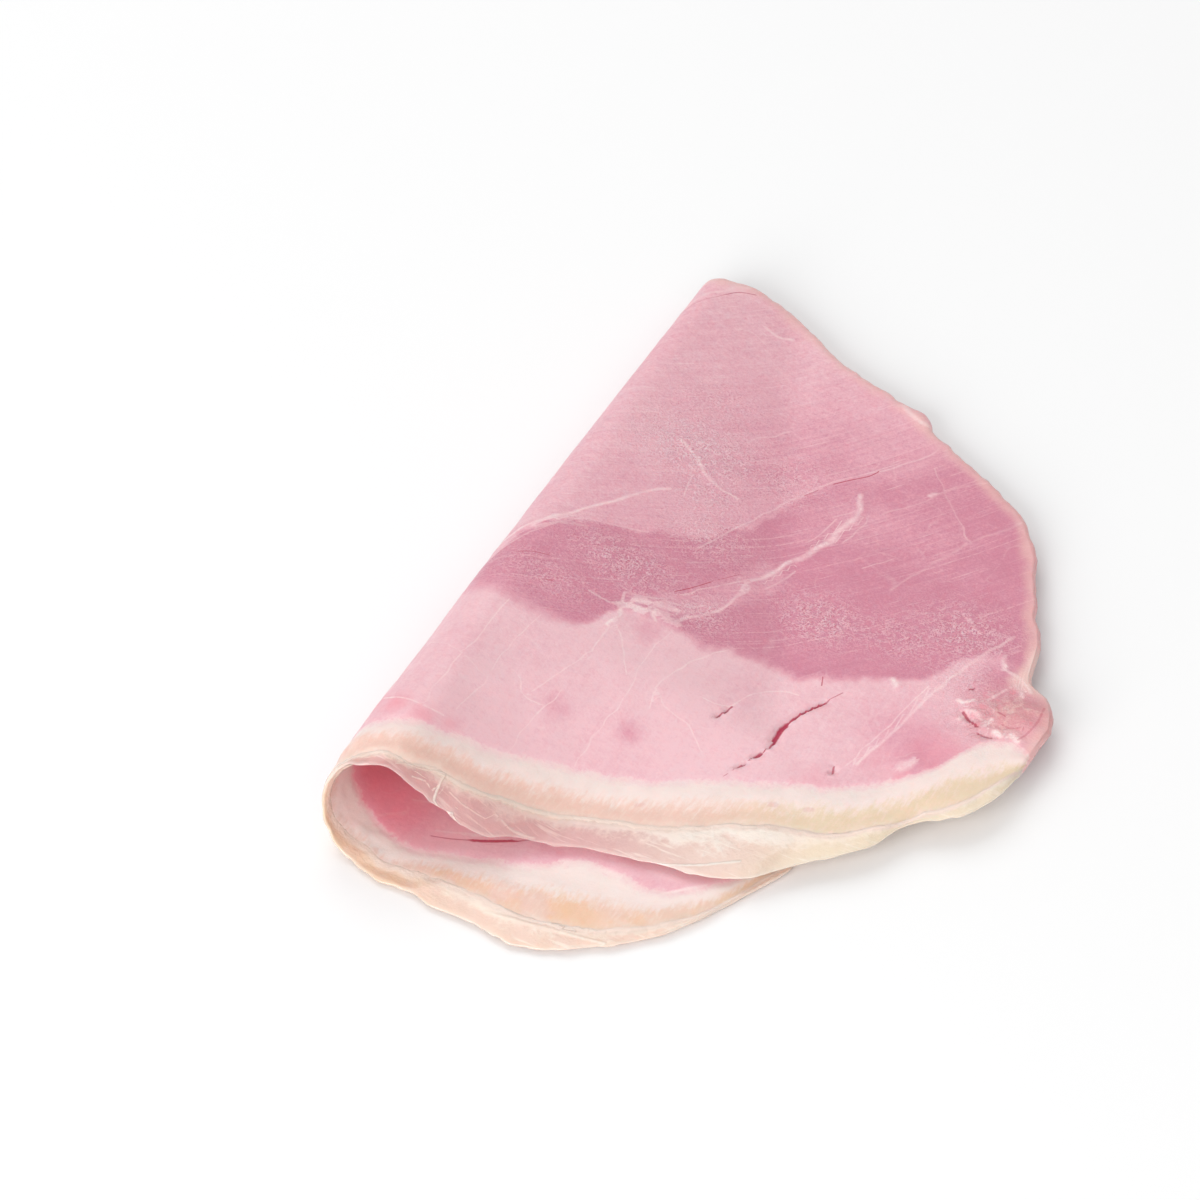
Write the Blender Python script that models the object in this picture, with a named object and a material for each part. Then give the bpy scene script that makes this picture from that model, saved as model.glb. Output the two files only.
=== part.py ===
# A slice of cooked ham, folded once in half and laid down on its lower half.
#
# The slice is one closed solid. It is drawn flat first, in its own two directions: `s` runs across
# the slice (negative on the lower half, positive on the upper half, zero on the fold) and `t` runs
# from the fat rim at the front towards the tip at the back. The flat slice is then rolled over the
# fold: a wide open loop at the rim that closes to a tight bend at the tip. Lengths in the drawing are
# in millimetres and are written out in metres, +Z up, with the origin under the middle of the part.

import math

import bpy
import numpy as np

MM = 0.001

# Sheet
THICKNESS = 1.6            # the lean meat
RIM_THICKNESS = 0.8        # the clear fat along the outer edge of the rim
RIM_TAPER = 5.0            # width over which the rim thins towards its edge
LAYER_GAP = 0.35           # air between the lower half and the upper half lying on it

# Fold
SLICE_LENGTH = 118.0       # rim to tip along the fold
LOOP_RADIUS_RIM = 7.0      # of the middle of the sheet, at the rim
LOOP_RADIUS_TIP = 2.1      # of the middle of the sheet, at the tip
FALL_ANGLE_RIM = 34.0      # degrees, slope of the upper half where it comes down off the loop
FALL_ANGLE_TIP = 12.0
SETTLE_RADIUS_RIM = 9.0    # the soft bend that brings the upper half level again
SETTLE_RADIUS_TIP = 24.0
SETTLE_LENGTH = 40.0       # how far from the rim the loop keeps its steep shape
FOLD_BOW = 0.4             # the fold bows out a little between its ends

# Outline of the flat slice, (s, t): the fat rim along the front, the lean edge along the back
RIM_EDGE = [(-75, 50), (-73, 41), (-69, 32), (-64, 23), (-60, 14), (-55, 5), (-50, -2), (-44, -6),
            (-36, -9), (-28, -8), (-18, -7), (-9, -5), (0, -3), (9, -0.5), (18, 1.5), (27, 2.5),
            (33, 6.5), (42, 9), (52, 11), (60, 13), (66, 19), (72, 25), (74.5, 31), (79, 34),
            (83, 40), (84, 47)]
BACK_EDGE = [(-75, 50), (-74.5, 60), (-71, 72), (-63, 84), (-52, 94), (-38, 103), (-22, 110.5),
             (-8, 114), (2, 116), (9, 117.5), (17, 114.8), (25, 110.5), (32, 108), (37, 106.6),
             (44, 102.5), (52, 98.7), (58, 95), (63, 92), (68, 85), (72, 76.5), (75.5, 70),
             (77.5, 63), (81, 60.7), (83.6, 57), (84, 52), (84, 47)]
LEAN_EDGE = [(-75, 56), (-66, 34), (-60, 20), (-53, 10.5), (-47, 7.5), (-43, 10), (-38, 10),
             (-32, 5), (-24, 2.5), (-16, 0.6), (-8, 3), (0, 6), (8, 9), (15, 12), (27, 17),
             (36, 21.4), (44, 25), (50, 28.5), (59, 32), (67, 36), (73, 42), (77, 49), (84, 54)]

# Relief on the outer face: clefts between muscles, raised seams of gristle, the knuckle of the corner
MAIN_CLEFT = [(56, 50), (54.5, 47), (52.5, 43.5), (51.7, 40.5), (51.8, 36), (50, 31), (49.2, 28.3)]
SMALL_CLEFT = [(44.3, 40), (43.4, 37)]
BACK_CLEFT = [(36.6, 86.2), (40.6, 92)]
BOLD_SEAM = [(24, 47), (30, 49.5), (35, 56.5), (37.5, 67.5), (40.5, 75), (42, 81.5), (40.5, 86)]
CLEFT_WIDTH = 0.75
CLEFT_DEPTH = 0.75
SEAM_WIDTH = 1.1
SEAM_HEIGHT = 0.18
KNUCKLE = (80.0, 56.0)
KNUCKLE_RADIUS = 4.5
KNUCKLE_HEIGHT = 0.8
LEAN_STEP = 0.16           # the lean stands this much proud of the fat beside it
CORNER_LIFT = 1.3          # the far right corner of the upper half curls up

# Mesh: columns across the slice as (from, to, steps), rows from rim to back edge
COLUMN_RUNS = [(-75, -66, 6), (-66, -15, 19), (-15, 17, 28), (17, 33, 8), (33, 47, 9), (47, 58, 15),
               (58, 76, 8), (76, 84, 6)]
RIM_ROWS = [0.0, 0.16, 0.36, 0.62, 0.93, 1.0]
LEAN_ROWS = 22

LEAN_PINK = (0.79, 0.40, 0.45, 1.0)


def smoothStep(low, high, value):
    q = np.clip((value - low) / (high - low), 0.0, 1.0)
    return q * q * (3.0 - 2.0 * q)


def splinePoints(points, steps=12):
    """Points of a smooth curve through the given ones."""
    knots = np.array(points, dtype=float)
    last = len(knots) - 1
    curve = []
    for i in range(last):
        before = knots[max(i - 1, 0)]
        start = knots[i]
        end = knots[i + 1]
        after = knots[min(i + 2, last)]
        for k in range(steps):
            u = k / steps
            curve.append(0.5 * (2 * start + (end - before) * u
                                + (2 * before - 5 * start + 4 * end - after) * u ** 2
                                + (3 * start - before - 3 * end + after) * u ** 3))
    curve.append(knots[last])
    return np.array(curve)


def edgeHeight(points, s):
    """The t of an outline curve at each s."""
    curve = splinePoints(points)
    order = np.maximum.accumulate(curve[:, 0])
    return np.interp(s, order, curve[:, 1])


def rimEdge(s):
    ragged = 0.35 * np.sin(0.9 * s + 1.0) + 0.22 * np.sin(2.3 * s)
    return edgeHeight(RIM_EDGE, s) + ragged * smoothStep(84.0, 78.0, np.abs(s))


def backEdge(s):
    ragged = 0.28 * np.sin(0.7 * s + 2.0) + 0.18 * np.sin(1.9 * s + 0.5)
    return edgeHeight(BACK_EDGE, s) + ragged * smoothStep(75.0, 68.0, np.abs(s))


def leanEdge(s):
    """Where the fat rim ends and the lean begins, kept inside the slice at both ends."""
    rim = rimEdge(s)
    back = backEdge(s)
    return np.minimum(edgeHeight(LEAN_EDGE, s), back - 0.3 * (back - rim))


def loopRadius(t):
    share = np.clip(t / SLICE_LENGTH, -0.12, 1.05)
    return LOOP_RADIUS_RIM + (LOOP_RADIUS_TIP - LOOP_RADIUS_RIM) * share


def foldProfile(s, t):
    """Middle of the sheet in the section across the fold: x, z and the direction it runs in."""
    radius = loopRadius(t)
    drop = 2.0 * radius - THICKNESS - LAYER_GAP
    share = smoothStep(0.0, SETTLE_LENGTH, t)
    settle = SETTLE_RADIUS_RIM + (SETTLE_RADIUS_TIP - SETTLE_RADIUS_RIM) * share
    fall = np.radians(FALL_ANGLE_RIM + (FALL_ANGLE_TIP - FALL_ANGLE_RIM) * share)
    steepest = np.arccos(np.clip(1.0 - 0.8 * drop / (radius + settle), -1.0, 1.0))
    fall = np.minimum(fall, steepest)
    straight = (drop - (radius + settle) * (1.0 - np.cos(fall))) / np.sin(fall)
    arcEnd = radius * (math.pi / 2.0 + fall)
    straightEnd = arcEnd + straight
    settleEnd = straightEnd + settle * fall
    leftZ = radius + THICKNESS / 2.0

    # upper half: round the loop, down the slope, a soft bend, then level
    turn = math.pi / 2.0 - np.minimum(np.maximum(s, 0.0), arcEnd) / radius
    x = radius * (1.0 - np.sin(turn))
    z = leftZ + radius * np.cos(turn)
    slope = np.clip(s - arcEnd, 0.0, straight)
    x = x + slope * np.cos(fall)
    z = z - slope * np.sin(fall)
    bend = -fall + np.clip(s - straightEnd, 0.0, settle * fall) / settle
    x = x + settle * (np.sin(fall) + np.sin(bend))
    z = z + settle * (np.cos(fall) - np.cos(bend))
    x = x + np.maximum(s - settleEnd, 0.0)
    heading = np.where(s < arcEnd, turn, bend)

    # lower half: a quarter turn under the loop, then flat on the table
    below = np.maximum(-s, 0.0)
    quarter = np.minimum(below, radius * math.pi / 2.0) / radius
    lowerX = radius * (1.0 - np.cos(quarter)) + np.maximum(below - radius * math.pi / 2.0, 0.0)
    lowerZ = leftZ - radius * np.sin(quarter)
    lowerHeading = math.pi / 2.0 + quarter

    upper = s >= 0.0
    return (np.where(upper, x, lowerX), np.where(upper, z, lowerZ),
            np.where(upper, heading, lowerHeading))


def lineDistance(points, s, t):
    """Distance of each (s, t) from a polyline, and how far along it the nearest point is (0 to 1)."""
    nearest = np.full(np.shape(s), 1e9)
    along = np.zeros(np.shape(s))
    count = len(points) - 1
    for i in range(count):
        a = np.array(points[i], dtype=float)
        b = np.array(points[i + 1], dtype=float)
        run = b - a
        u = np.clip(((s - a[0]) * run[0] + (t - a[1]) * run[1]) / run.dot(run), 0.0, 1.0)
        d = np.hypot(s - a[0] - u * run[0], t - a[1] - u * run[1])
        closer = d < nearest
        nearest = np.where(closer, d, nearest)
        along = np.where(closer, (i + u) / count, along)
    return nearest, along


def cleft(points, width, depth, s, t):
    """Depth of an open split in the meat: widest halfway along, closing at both ends."""
    distance, along = lineDistance(points, s, t)
    spread = width * (0.35 + 0.65 * np.sin(math.pi * along))
    return depth * np.clip(1.0 - distance / spread, 0.0, 1.0)


def outerRelief(s, t):
    """Height added to the outer face, the one that shows on the upper half."""
    raised = -cleft(MAIN_CLEFT, CLEFT_WIDTH, CLEFT_DEPTH, s, t)
    raised -= cleft(SMALL_CLEFT, 0.6 * CLEFT_WIDTH, 0.6 * CLEFT_DEPTH, s, t)
    raised -= cleft(BACK_CLEFT, 0.5 * CLEFT_WIDTH, 0.4 * CLEFT_DEPTH, s, t)
    seam = lineDistance(BOLD_SEAM, s, t)[0]
    raised += SEAM_HEIGHT * np.exp(-(seam / SEAM_WIDTH) ** 2)
    knuckle = np.hypot(s - KNUCKLE[0], t - KNUCKLE[1]) / KNUCKLE_RADIUS
    raised += KNUCKLE_HEIGHT * np.exp(-knuckle ** 2) * (1.0 + 0.4 * np.sin(1.7 * s + 1.2 * t))
    raised -= LEAN_STEP * smoothStep(0.5, -0.5, t - leanEdge(s))
    return raised


def rimThinning(s, t):
    """How much thinner than the lean the sheet is, near the outer edge of the rim."""
    return (THICKNESS - RIM_THICKNESS) * smoothStep(RIM_TAPER, 0.0, t - rimEdge(s))


def faceOffsets(s, t):
    """Outer and inner face, measured from the middle of the sheet along the outward normal."""
    upperShare = smoothStep(-10.0, 10.0, s)
    thinning = rimThinning(s, t)
    outer = THICKNESS / 2.0 + upperShare * (outerRelief(s, t) - thinning)
    inner = -THICKNESS / 2.0 + (1.0 - upperShare) * thinning
    return outer, inner


def foldedPoint(s, t, offset):
    """Where a point of the flat slice comes to lie, in millimetres."""
    x, z, heading = foldProfile(s, t)
    bow = FOLD_BOW * np.sin(math.pi * np.clip(t / SLICE_LENGTH, 0.0, 1.0))
    corner = smoothStep(60.0, 86.0, s) * smoothStep(75.0, 50.0, t)
    px = x - offset * np.sin(heading) - bow
    pz = z + offset * np.cos(heading) + CORNER_LIFT * corner
    return np.stack([px, t + 0.0 * px, pz], axis=-1)


def columnStations():
    stations = []
    for low, high, steps in COLUMN_RUNS:
        stations.extend(low + (high - low) * k / steps for k in range(steps))
    stations.append(COLUMN_RUNS[-1][1])
    return np.array(stations, dtype=float)


def flatGrid():
    """The flat slice as a grid: columns across it, rows that follow the rim and then the lean."""
    s = columnStations()
    rim = rimEdge(s)
    lean = leanEdge(s)
    back = backEdge(s)
    rows = [rim + share * (lean - rim) for share in RIM_ROWS]
    rows += [lean + (back - lean) * k / LEAN_ROWS for k in range(1, LEAN_ROWS + 1)]
    t = np.array(rows)
    return np.broadcast_to(s, t.shape).copy(), t


def borderLoop(rows, columns):
    """Grid positions round the edge, rim first, counter-clockwise seen from the outer face."""
    loop = [(0, j) for j in range(columns)]
    loop += [(i, columns - 1) for i in range(1, rows)]
    loop += [(rows - 1, j) for j in range(columns - 2, -1, -1)]
    loop += [(i, 0) for i in range(rows - 2, 0, -1)]
    return loop


def edgeNormals(points):
    """Outward directions of a closed counter-clockwise outline, in the flat slice."""
    ahead = np.roll(points, -1, axis=0) - points
    behind = points - np.roll(points, 1, axis=0)
    run = ahead / np.linalg.norm(ahead, axis=1)[:, None] + behind / np.linalg.norm(behind, axis=1)[:, None]
    run /= np.linalg.norm(run, axis=1)[:, None]
    return np.stack([run[:, 1], -run[:, 0]], axis=-1)


def sliceMesh():
    s, t = flatGrid()
    rows, columns = s.shape
    outer, inner = faceOffsets(s, t)
    loop = borderLoop(rows, columns)
    ii = np.array([i for i, j in loop])
    jj = np.array([j for i, j in loop])

    # the cut edge is rounded: both faces stop short of it and a ring halfway stands out
    middle = 0.5 * (outer[ii, jj] + inner[ii, jj])
    half = 0.5 * (outer[ii, jj] - inner[ii, jj])
    outer[ii, jj] = middle + 0.72 * half
    inner[ii, jj] = middle - 0.72 * half
    inner = np.where(s < -12.0, np.minimum(inner, outer - 0.5), inner)
    border = np.stack([s[ii, jj], t[ii, jj]], axis=-1)
    ring = border + edgeNormals(border) * half[:, None] * 0.75

    top = foldedPoint(s, t, outer).reshape(-1, 3)
    bottom = foldedPoint(s, t, inner).reshape(-1, 3)
    edge = foldedPoint(ring[:, 0], ring[:, 1], middle)
    vertices = np.concatenate([top, bottom, edge])

    faces = []
    under = rows * columns
    ringStart = 2 * rows * columns
    for i in range(rows - 1):
        for j in range(columns - 1):
            a = i * columns + j
            b = a + 1
            c = a + columns + 1
            d = a + columns
            faces.append((a, b, c, d))
            faces.append((under + d, under + c, under + b, under + a))
    count = len(loop)
    for k in range(count):
        a = loop[k][0] * columns + loop[k][1]
        n = (k + 1) % count
        b = loop[n][0] * columns + loop[n][1]
        faces.append((a, ringStart + k, ringStart + n, b))
        faces.append((ringStart + k, under + a, under + b, ringStart + n))
    return vertices, faces


def centred(vertices):
    """The part stands on z = 0 with its origin under the middle of its box."""
    low = vertices.min(axis=0)
    high = vertices.max(axis=0)
    return vertices - np.array([(low[0] + high[0]) / 2.0, (low[1] + high[1]) / 2.0, low[2]])


def leanMaterial():
    material = bpy.data.materials.new("cooked ham")
    material.use_nodes = True
    shader = material.node_tree.nodes["Principled BSDF"]
    shader.inputs["Base Color"].default_value = LEAN_PINK
    shader.inputs["Roughness"].default_value = 0.38
    shader.inputs["Metallic"].default_value = 0.0
    material.diffuse_color = LEAN_PINK
    return material


def buildSlice():
    vertices, faces = sliceMesh()
    mesh = bpy.data.meshes.new("ham_slice")
    mesh.from_pydata((centred(vertices) * MM).tolist(), [], faces)
    mesh.update()
    mesh.shade_smooth()
    mesh.set_sharp_from_angle(angle=math.radians(50.0))
    mesh.materials.append(leanMaterial())
    piece = bpy.data.objects.new("ham_slice", mesh)
    bpy.context.scene.collection.objects.link(piece)
    return piece


for old in list(bpy.data.objects):
    bpy.data.objects.remove(old, do_unlink=True)
buildSlice()
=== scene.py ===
# A slice of cooked ham, folded once in half: its meat, its clear rim and the plain studio around it.
import math

import bpy
import numpy as np
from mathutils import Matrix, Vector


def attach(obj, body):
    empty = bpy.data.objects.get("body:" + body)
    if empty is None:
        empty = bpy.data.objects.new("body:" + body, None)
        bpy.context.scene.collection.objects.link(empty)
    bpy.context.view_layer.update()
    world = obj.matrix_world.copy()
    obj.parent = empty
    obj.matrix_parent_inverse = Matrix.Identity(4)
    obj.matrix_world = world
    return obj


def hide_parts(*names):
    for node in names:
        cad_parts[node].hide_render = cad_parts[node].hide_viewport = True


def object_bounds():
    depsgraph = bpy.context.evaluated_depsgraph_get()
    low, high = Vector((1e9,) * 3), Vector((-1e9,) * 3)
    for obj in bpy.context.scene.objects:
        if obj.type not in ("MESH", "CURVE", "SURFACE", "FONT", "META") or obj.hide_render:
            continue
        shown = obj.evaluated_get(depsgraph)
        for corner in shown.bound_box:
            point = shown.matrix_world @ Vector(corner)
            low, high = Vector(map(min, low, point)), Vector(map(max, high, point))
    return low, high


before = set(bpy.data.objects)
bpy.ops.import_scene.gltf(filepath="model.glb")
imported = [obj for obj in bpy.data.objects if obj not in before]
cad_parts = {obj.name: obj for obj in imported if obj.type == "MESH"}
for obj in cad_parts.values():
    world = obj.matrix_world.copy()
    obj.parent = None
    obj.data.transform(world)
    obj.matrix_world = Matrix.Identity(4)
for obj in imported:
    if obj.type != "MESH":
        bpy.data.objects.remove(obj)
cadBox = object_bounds()
mm = 0.001

# the sheet and the fold it is laid in, in millimetres and degrees
# s runs across the slice (zero on the fold, above zero on the upper half), t from the rim to the tip
slab = {
    "thickness": 1.6,
    "rimThickness": 0.8,
    "rimTaper": 5.0,
    "layerGap": 0.35,
    "length": 118.0,
    "loopRadiusRim": 7.0,
    "loopRadiusTip": 2.1,
    "fallAngleRim": 34.0,
    "fallAngleTip": 12.0,
    "settleRadiusRim": 9.0,
    "settleRadiusTip": 24.0,
    "settleLength": 40.0,
    "bow": 0.4,
    "cornerLift": 1.3,
    "thinnedOutside": 0.6,
    "edgeShare": 0.86,
}

# outlines of the flat slice
outline = {
    "rim": [(-75, 50), (-73, 41), (-69, 32), (-64, 23), (-60, 14), (-55, 5), (-50, -2), (-44, -6),
            (-36, -9), (-28, -8), (-18, -7), (-9, -5), (0, -3), (9, -0.5), (18, 1.5), (27, 2.5),
            (33, 6.5), (42, 9), (52, 11), (60, 13), (66, 19), (72, 25), (74.5, 31), (79, 34),
            (83, 40), (84, 47)],
    "back": [(-75, 50), (-74.5, 60), (-71, 72), (-63, 84), (-52, 94), (-38, 103), (-22, 110.5),
             (-8, 114), (2, 116), (9, 117.5), (17, 114.8), (25, 110.5), (32, 108), (37, 106.6),
             (44, 102.5), (52, 98.7), (58, 95), (63, 92), (68, 85), (72, 76.5), (75.5, 70),
             (77.5, 63), (81, 60.7), (83.6, 57), (84, 52), (84, 47)],
    "lean": [(-75, 56), (-66, 34), (-60, 20), (-53, 10.5), (-47, 7.6), (-43, 8.6), (-38, 8.4),
             (-32, 5), (-24, 2.5), (-16, 0.6), (-8, 3), (0, 6), (8, 9), (15, 12), (27, 17),
             (36, 21.4), (44, 25), (50, 28.5), (59, 32), (67, 36), (73.2, 42), (76.4, 48.2), (80.4, 50.9),
             (82, 50.6), (84, 49.6)],
    "film": [(-75, 52), (-66, 30), (-60, 16), (-56, 8), (-50, 2), (-44, -2), (-36, -4.5), (-28, -4),
             (-18, -3.5), (-9, -2.5), (0, -1), (8, 1.5), (17, 5.5), (25, 8), (33, 12), (40, 14.5),
             (47, 17), (54, 20.5), (60, 24), (66, 25), (72, 29), (76, 34), (80, 38), (84, 47)],
}

# muscles: the deeper-coloured band lies between these two lines on the upper half
muscle = {
    "darkLow": [(0, 39.5), (7, 40), (14.8, 39.6), (18.5, 39.8), (22, 43), (24, 47), (29, 48.6),
                (35, 47.7), (41, 50), (48, 50.6), (52, 51.2), (57.8, 55), (62, 56.6), (66, 60),
                (70, 66), (76, 66), (84, 62)],
    "darkHigh": [(0, 43), (3.4, 46), (7, 53), (10, 58), (16, 60.5), (20, 62.5), (25.5, 66), (30, 71.5),
                 (34, 81), (37, 87), (44, 92), (55, 98), (84, 104)],
    "corridor": [(25.5, 48.5), (28.5, 51.6), (32, 55.8), (35.5, 61.5), (36.8, 65.5)],
    "grainCentre": (-60.0, 173.0),
    "grainRadius": 137.0,
}

# pale gristle and sinew: points in (s, t), half width, how white
paleLines = [
    ([(22.8, 47.2), (24.6, 47.9), (27, 48.8), (30.8, 49.3)], 1.15, 1.0),
    ([(24.4, 49.6), (27, 50.6), (30, 51.2)], 0.6, 0.9),
    ([(23.4, 46.4), (23.8, 44.4), (23.4, 42.6)], 0.3, 0.9),
    ([(18.3, 47.2), (21, 46.9), (23.5, 46.7)], 0.2, 0.8),
    ([(22.5, 49.6), (23.4, 47.2), (24, 44.9)], 0.22, 0.8),
    ([(26.4, 49.6), (28.2, 47.6)], 0.25, 0.8),
    ([(30.4, 49.3), (33, 52.5), (35, 57), (35.8, 62)], 0.28, 0.7),
    ([(35, 56.8), (35.3, 59.4), (35.2, 62), (36, 64.2)], 0.26, 0.75),
    ([(36, 64.2), (37.4, 66.6), (38, 69), (39.4, 71.4)], 0.42, 1.0),
    ([(37.6, 63.2), (38.9, 66), (39.8, 68.6)], 0.16, 0.6),
    ([(38.6, 74.4), (39.6, 77), (40.1, 80.4)], 0.14, 0.55),
    ([(43, 76.6), (43.9, 80), (43.8, 83.4)], 0.14, 0.5),
    ([(39.4, 71.2), (40.2, 73.6), (41.3, 76), (41.7, 78.6), (42.2, 81), (42.2, 83), (41, 86.2)], 0.56, 1.0),
    ([(28.6, 54.2), (31.2, 57.8), (33.4, 60.9), (35.8, 64.2)], 0.14, 0.55),
    ([(27.6, 52), (30.2, 52.6), (32.4, 54.6)], 0.2, 0.6),
    ([(21.6, 50.6), (24.6, 50.4), (26.6, 51.6)], 0.18, 0.5),
    ([(2.4, 48.6), (4.6, 52.2), (8.2, 57), (11, 61.8), (13.4, 65.5), (16.4, 70.2), (18, 72.2)], 0.3, 0.95),
    ([(6.5, 53.4), (9, 56.2), (12.5, 57.6)], 0.2, 0.55),
    ([(3.4, 46), (7, 52.8), (10, 57.8), (15.6, 60.6), (19.5, 62.4)], 0.18, 0.5),
    ([(14.6, 82), (18.2, 80.1), (21.3, 77.7), (24, 76.5), (26.5, 76.6)], 0.24, 0.8),
    ([(22, 87.5), (24, 90.5), (26.1, 93.4)], 0.16, 0.55),
    ([(18.2, 80.1), (19, 76), (20.4, 72)], 0.14, 0.5),
    ([(26.6, 64.3), (29, 72), (31.8, 78.8), (36.2, 87), (39.8, 90.8), (45, 97), (46, 99.9)], 0.16, 0.55),
    ([(47.5, 96.1), (49.4, 94.1), (52, 91.3), (56.8, 86.2), (58.7, 84.2)], 0.12, 0.42),
    ([(52.8, 71.2), (55, 76.6), (57.9, 83.7), (61.1, 88.4), (63, 91.5)], 0.24, 0.3),
    ([(44.8, 83.7), (49, 88.9), (51.1, 92.8), (55, 97)], 0.18, 0.3),
    ([(49.3, 90.6), (49.9, 91.3)], 0.4, 0.9),
    ([(47.5, 73.5), (49, 75), (50.5, 77.1)], 0.12, 0.6),
    ([(63.7, 39), (65.2, 45), (66.3, 50), (67.3, 56.5), (68.6, 61), (70.3, 65.6), (71.8, 70.2)], 0.3, 0.6),
    ([(62.4, 38), (63.8, 44.5), (64.9, 50.5), (65.9, 56.4)], 0.14, 0.6),
    ([(72.4, 66.2), (73.7, 63.8), (76.2, 63), (78.8, 60.9)], 0.34, 0.7),
    ([(73.2, 64.6), (73.7, 63.6)], 0.5, 1.0),
    ([(70.6, 55.6), (72, 55.2), (72.8, 56.4)], 0.35, 0.9),
    ([(72.5, 52.4), (72.8, 54)], 0.4, 0.9),
    ([(73.8, 54.1), (75.2, 53.4)], 0.4, 0.95),
    ([(76, 52.4), (76.4, 54)], 0.35, 0.9),
    ([(77.8, 52), (79.2, 51.5)], 0.45, 0.95),
    ([(80.2, 52.1), (81.6, 51.5)], 0.45, 0.9),
    ([(74.2, 57.2), (74.8, 58.7), (75.5, 60)], 0.28, 0.6),
    ([(76.2, 61.2), (77.2, 60.6), (78.1, 59.5)], 0.4, 0.7),
    ([(61, 55.4), (62, 54.4)], 0.5, 0.8),
    ([(69.2, 40.6), (70.4, 42.6)], 0.75, 0.8),
    ([(24.2, 35.2), (23.8, 41.5), (23.9, 45.6)], 0.14, 0.6),
    ([(21.3, 26.2), (22, 30), (23.6, 36.2), (24, 41)], 0.12, 0.5),
    ([(23.4, 14.8), (23.2, 20), (23.4, 24), (24.3, 29)], 0.1, 0.45),
    ([(10.9, 14.3), (10.3, 19.8), (10.4, 26), (10.5, 33), (10.6, 38.6)], 0.12, 0.5),
    ([(4, 14), (4.6, 22), (4.2, 31), (5, 39)], 0.1, 0.35),
    ([(14.5, 16), (15, 24), (14.6, 31), (15.4, 38.8)], 0.1, 0.4),
    ([(31.6, 19.8), (31.2, 26), (31.8, 33), (30.6, 40), (31, 48)], 0.1, 0.45),
    ([(23.6, 45), (27.8, 39.3), (30, 36)], 0.12, 0.5),
    ([(35.2, 33.2), (34.4, 37.1), (34.8, 40.3), (36.4, 44.7), (39.1, 49.3)], 0.13, 0.55),
    ([(40.1, 38.6), (43.6, 39.3), (45, 42.5), (47.3, 45.8), (51, 47.1)], 0.12, 0.55),
    ([(34.6, 36.5), (37.5, 34), (41, 33.5), (44.6, 31)], 0.11, 0.45),
    ([(2.6, 28.6), (5, 26.6), (8.6, 25.8), (12, 25), (15, 23.8)], 0.1, 0.4),
    ([(18, 27), (20.4, 24.8), (23, 24.6)], 0.1, 0.45),
    ([(37.6, 105.7), (40, 104.7), (42.4, 103.5)], 0.42, 0.85),
    ([(13, 111), (15.5, 110.5), (17.4, 110.9)], 0.25, 0.7),
    ([(9.5, 108), (12.4, 108.8), (15, 107.6)], 0.14, 0.45),
    ([(1.2, 106.9), (2.4, 110.2), (4.6, 114.2), (7.4, 117.4)], 0.3, 0.55),
    ([(2.8, 14.8), (6.5, 13.9), (10.6, 13.4), (13.6, 13.8)], 0.16, 0.7),
    ([(-46.7, 4.2), (-50, 8.2), (-54.5, 12)], 0.3, 0.8),
    ([(-17.4, 4.4), (-21, 5.6), (-25, 7.4), (-29, 9.4)], 0.2, 0.6),
    ([(-12, 8), (-19, 10), (-27, 13)], 0.2, 0.4),
    ([(-20.4, 5.2), (-23, 6.2), (-26, 7.7), (-29, 9.4)], 0.26, 0.8),
    ([(-35, 6.8), (-38.6, 7.8), (-43, 8)], 0.75, 0.7),
]

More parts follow.
